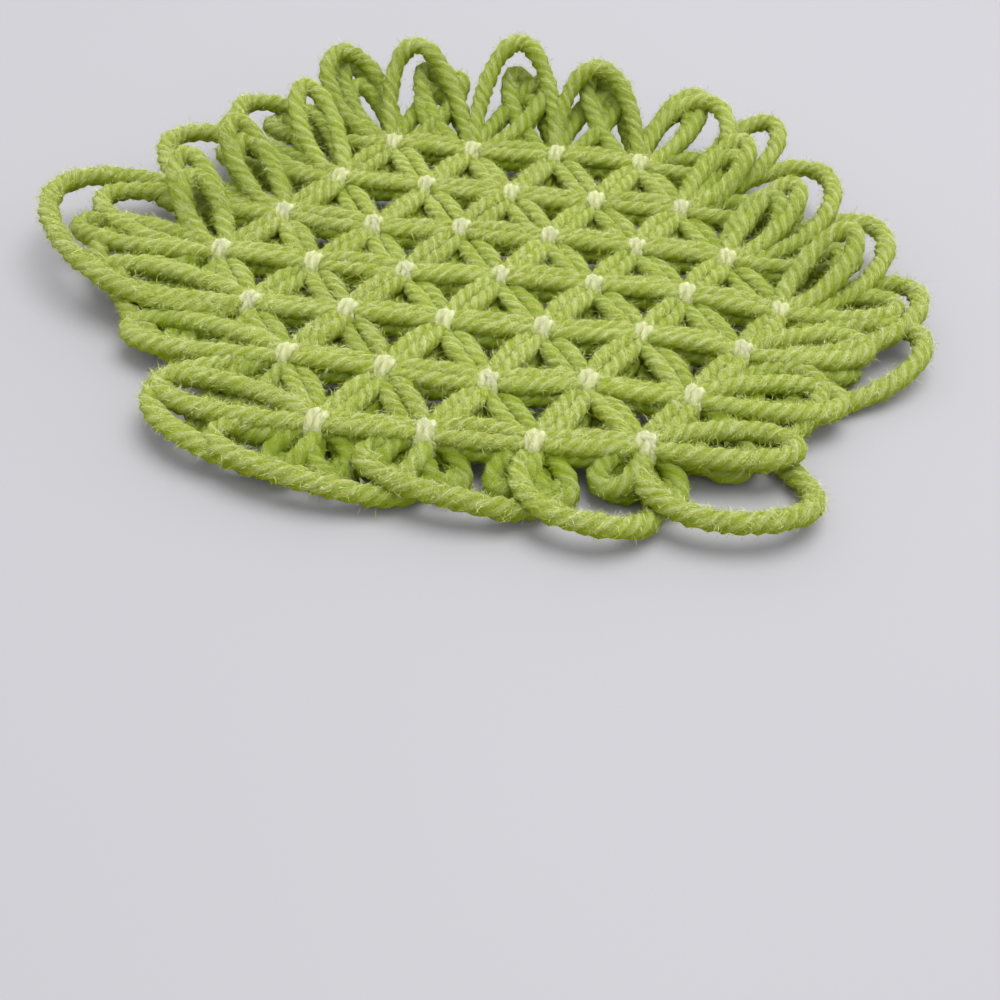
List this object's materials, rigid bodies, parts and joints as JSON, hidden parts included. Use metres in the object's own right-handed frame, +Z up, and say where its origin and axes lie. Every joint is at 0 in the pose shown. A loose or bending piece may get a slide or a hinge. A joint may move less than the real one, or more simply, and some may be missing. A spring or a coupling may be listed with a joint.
{
  "type": "loomed yarn pot holder",
  "caption": "Hexagonal pot holder of wound lime wool yarn, its crossings tied with cream yarn, with a petal edge of open loops.",
  "frame": {"origin": "middle of the bounding box at the level of the surface that the mat lies on", "axes": "+Z up, +X along the top rows of yarn, -Y towards the front edge in the picture"},
  "size_m": [0.1648, 0.128, 0.0229],
  "materials": {
    "lime_wool": "matte, fuzzy plied wool",
    "cream_wool": "matte, fuzzy plied wool"
  },
  "bodies": {
    "root": {"wound_yarn": "lime_wool", "tie_0_0": "cream_wool", "tie_0_1": "cream_wool", "tie_0_2": "cream_wool", "tie_0_3": "cream_wool", "tie_1_0": "cream_wool", "tie_1_1": "cream_wool", "tie_1_2": "cream_wool", "tie_1_3": "cream_wool", "tie_1_4": "cream_wool", "tie_2_0": "cream_wool", "tie_2_1": "cream_wool", "tie_2_2": "cream_wool", "tie_2_3": "cream_wool", "tie_2_4": "cream_wool", "tie_2_5": "cream_wool", "tie_3_0": "cream_wool", "tie_3_1": "cream_wool", "tie_3_2": "cream_wool", "tie_3_3": "cream_wool", "tie_3_4": "cream_wool", "tie_3_5": "cream_wool", "tie_3_6": "cream_wool", "tie_4_0": "cream_wool", "tie_4_1": "cream_wool", "tie_4_2": "cream_wool", "tie_4_3": "cream_wool", "tie_4_4": "cream_wool", "tie_4_5": "cream_wool", "tie_5_0": "cream_wool", "tie_5_1": "cream_wool", "tie_5_2": "cream_wool", "tie_5_3": "cream_wool", "tie_5_4": "cream_wool", "tie_6_0": "cream_wool", "tie_6_1": "cream_wool", "tie_6_2": "cream_wool", "tie_6_3": "cream_wool"}
  },
  "joints": []
}
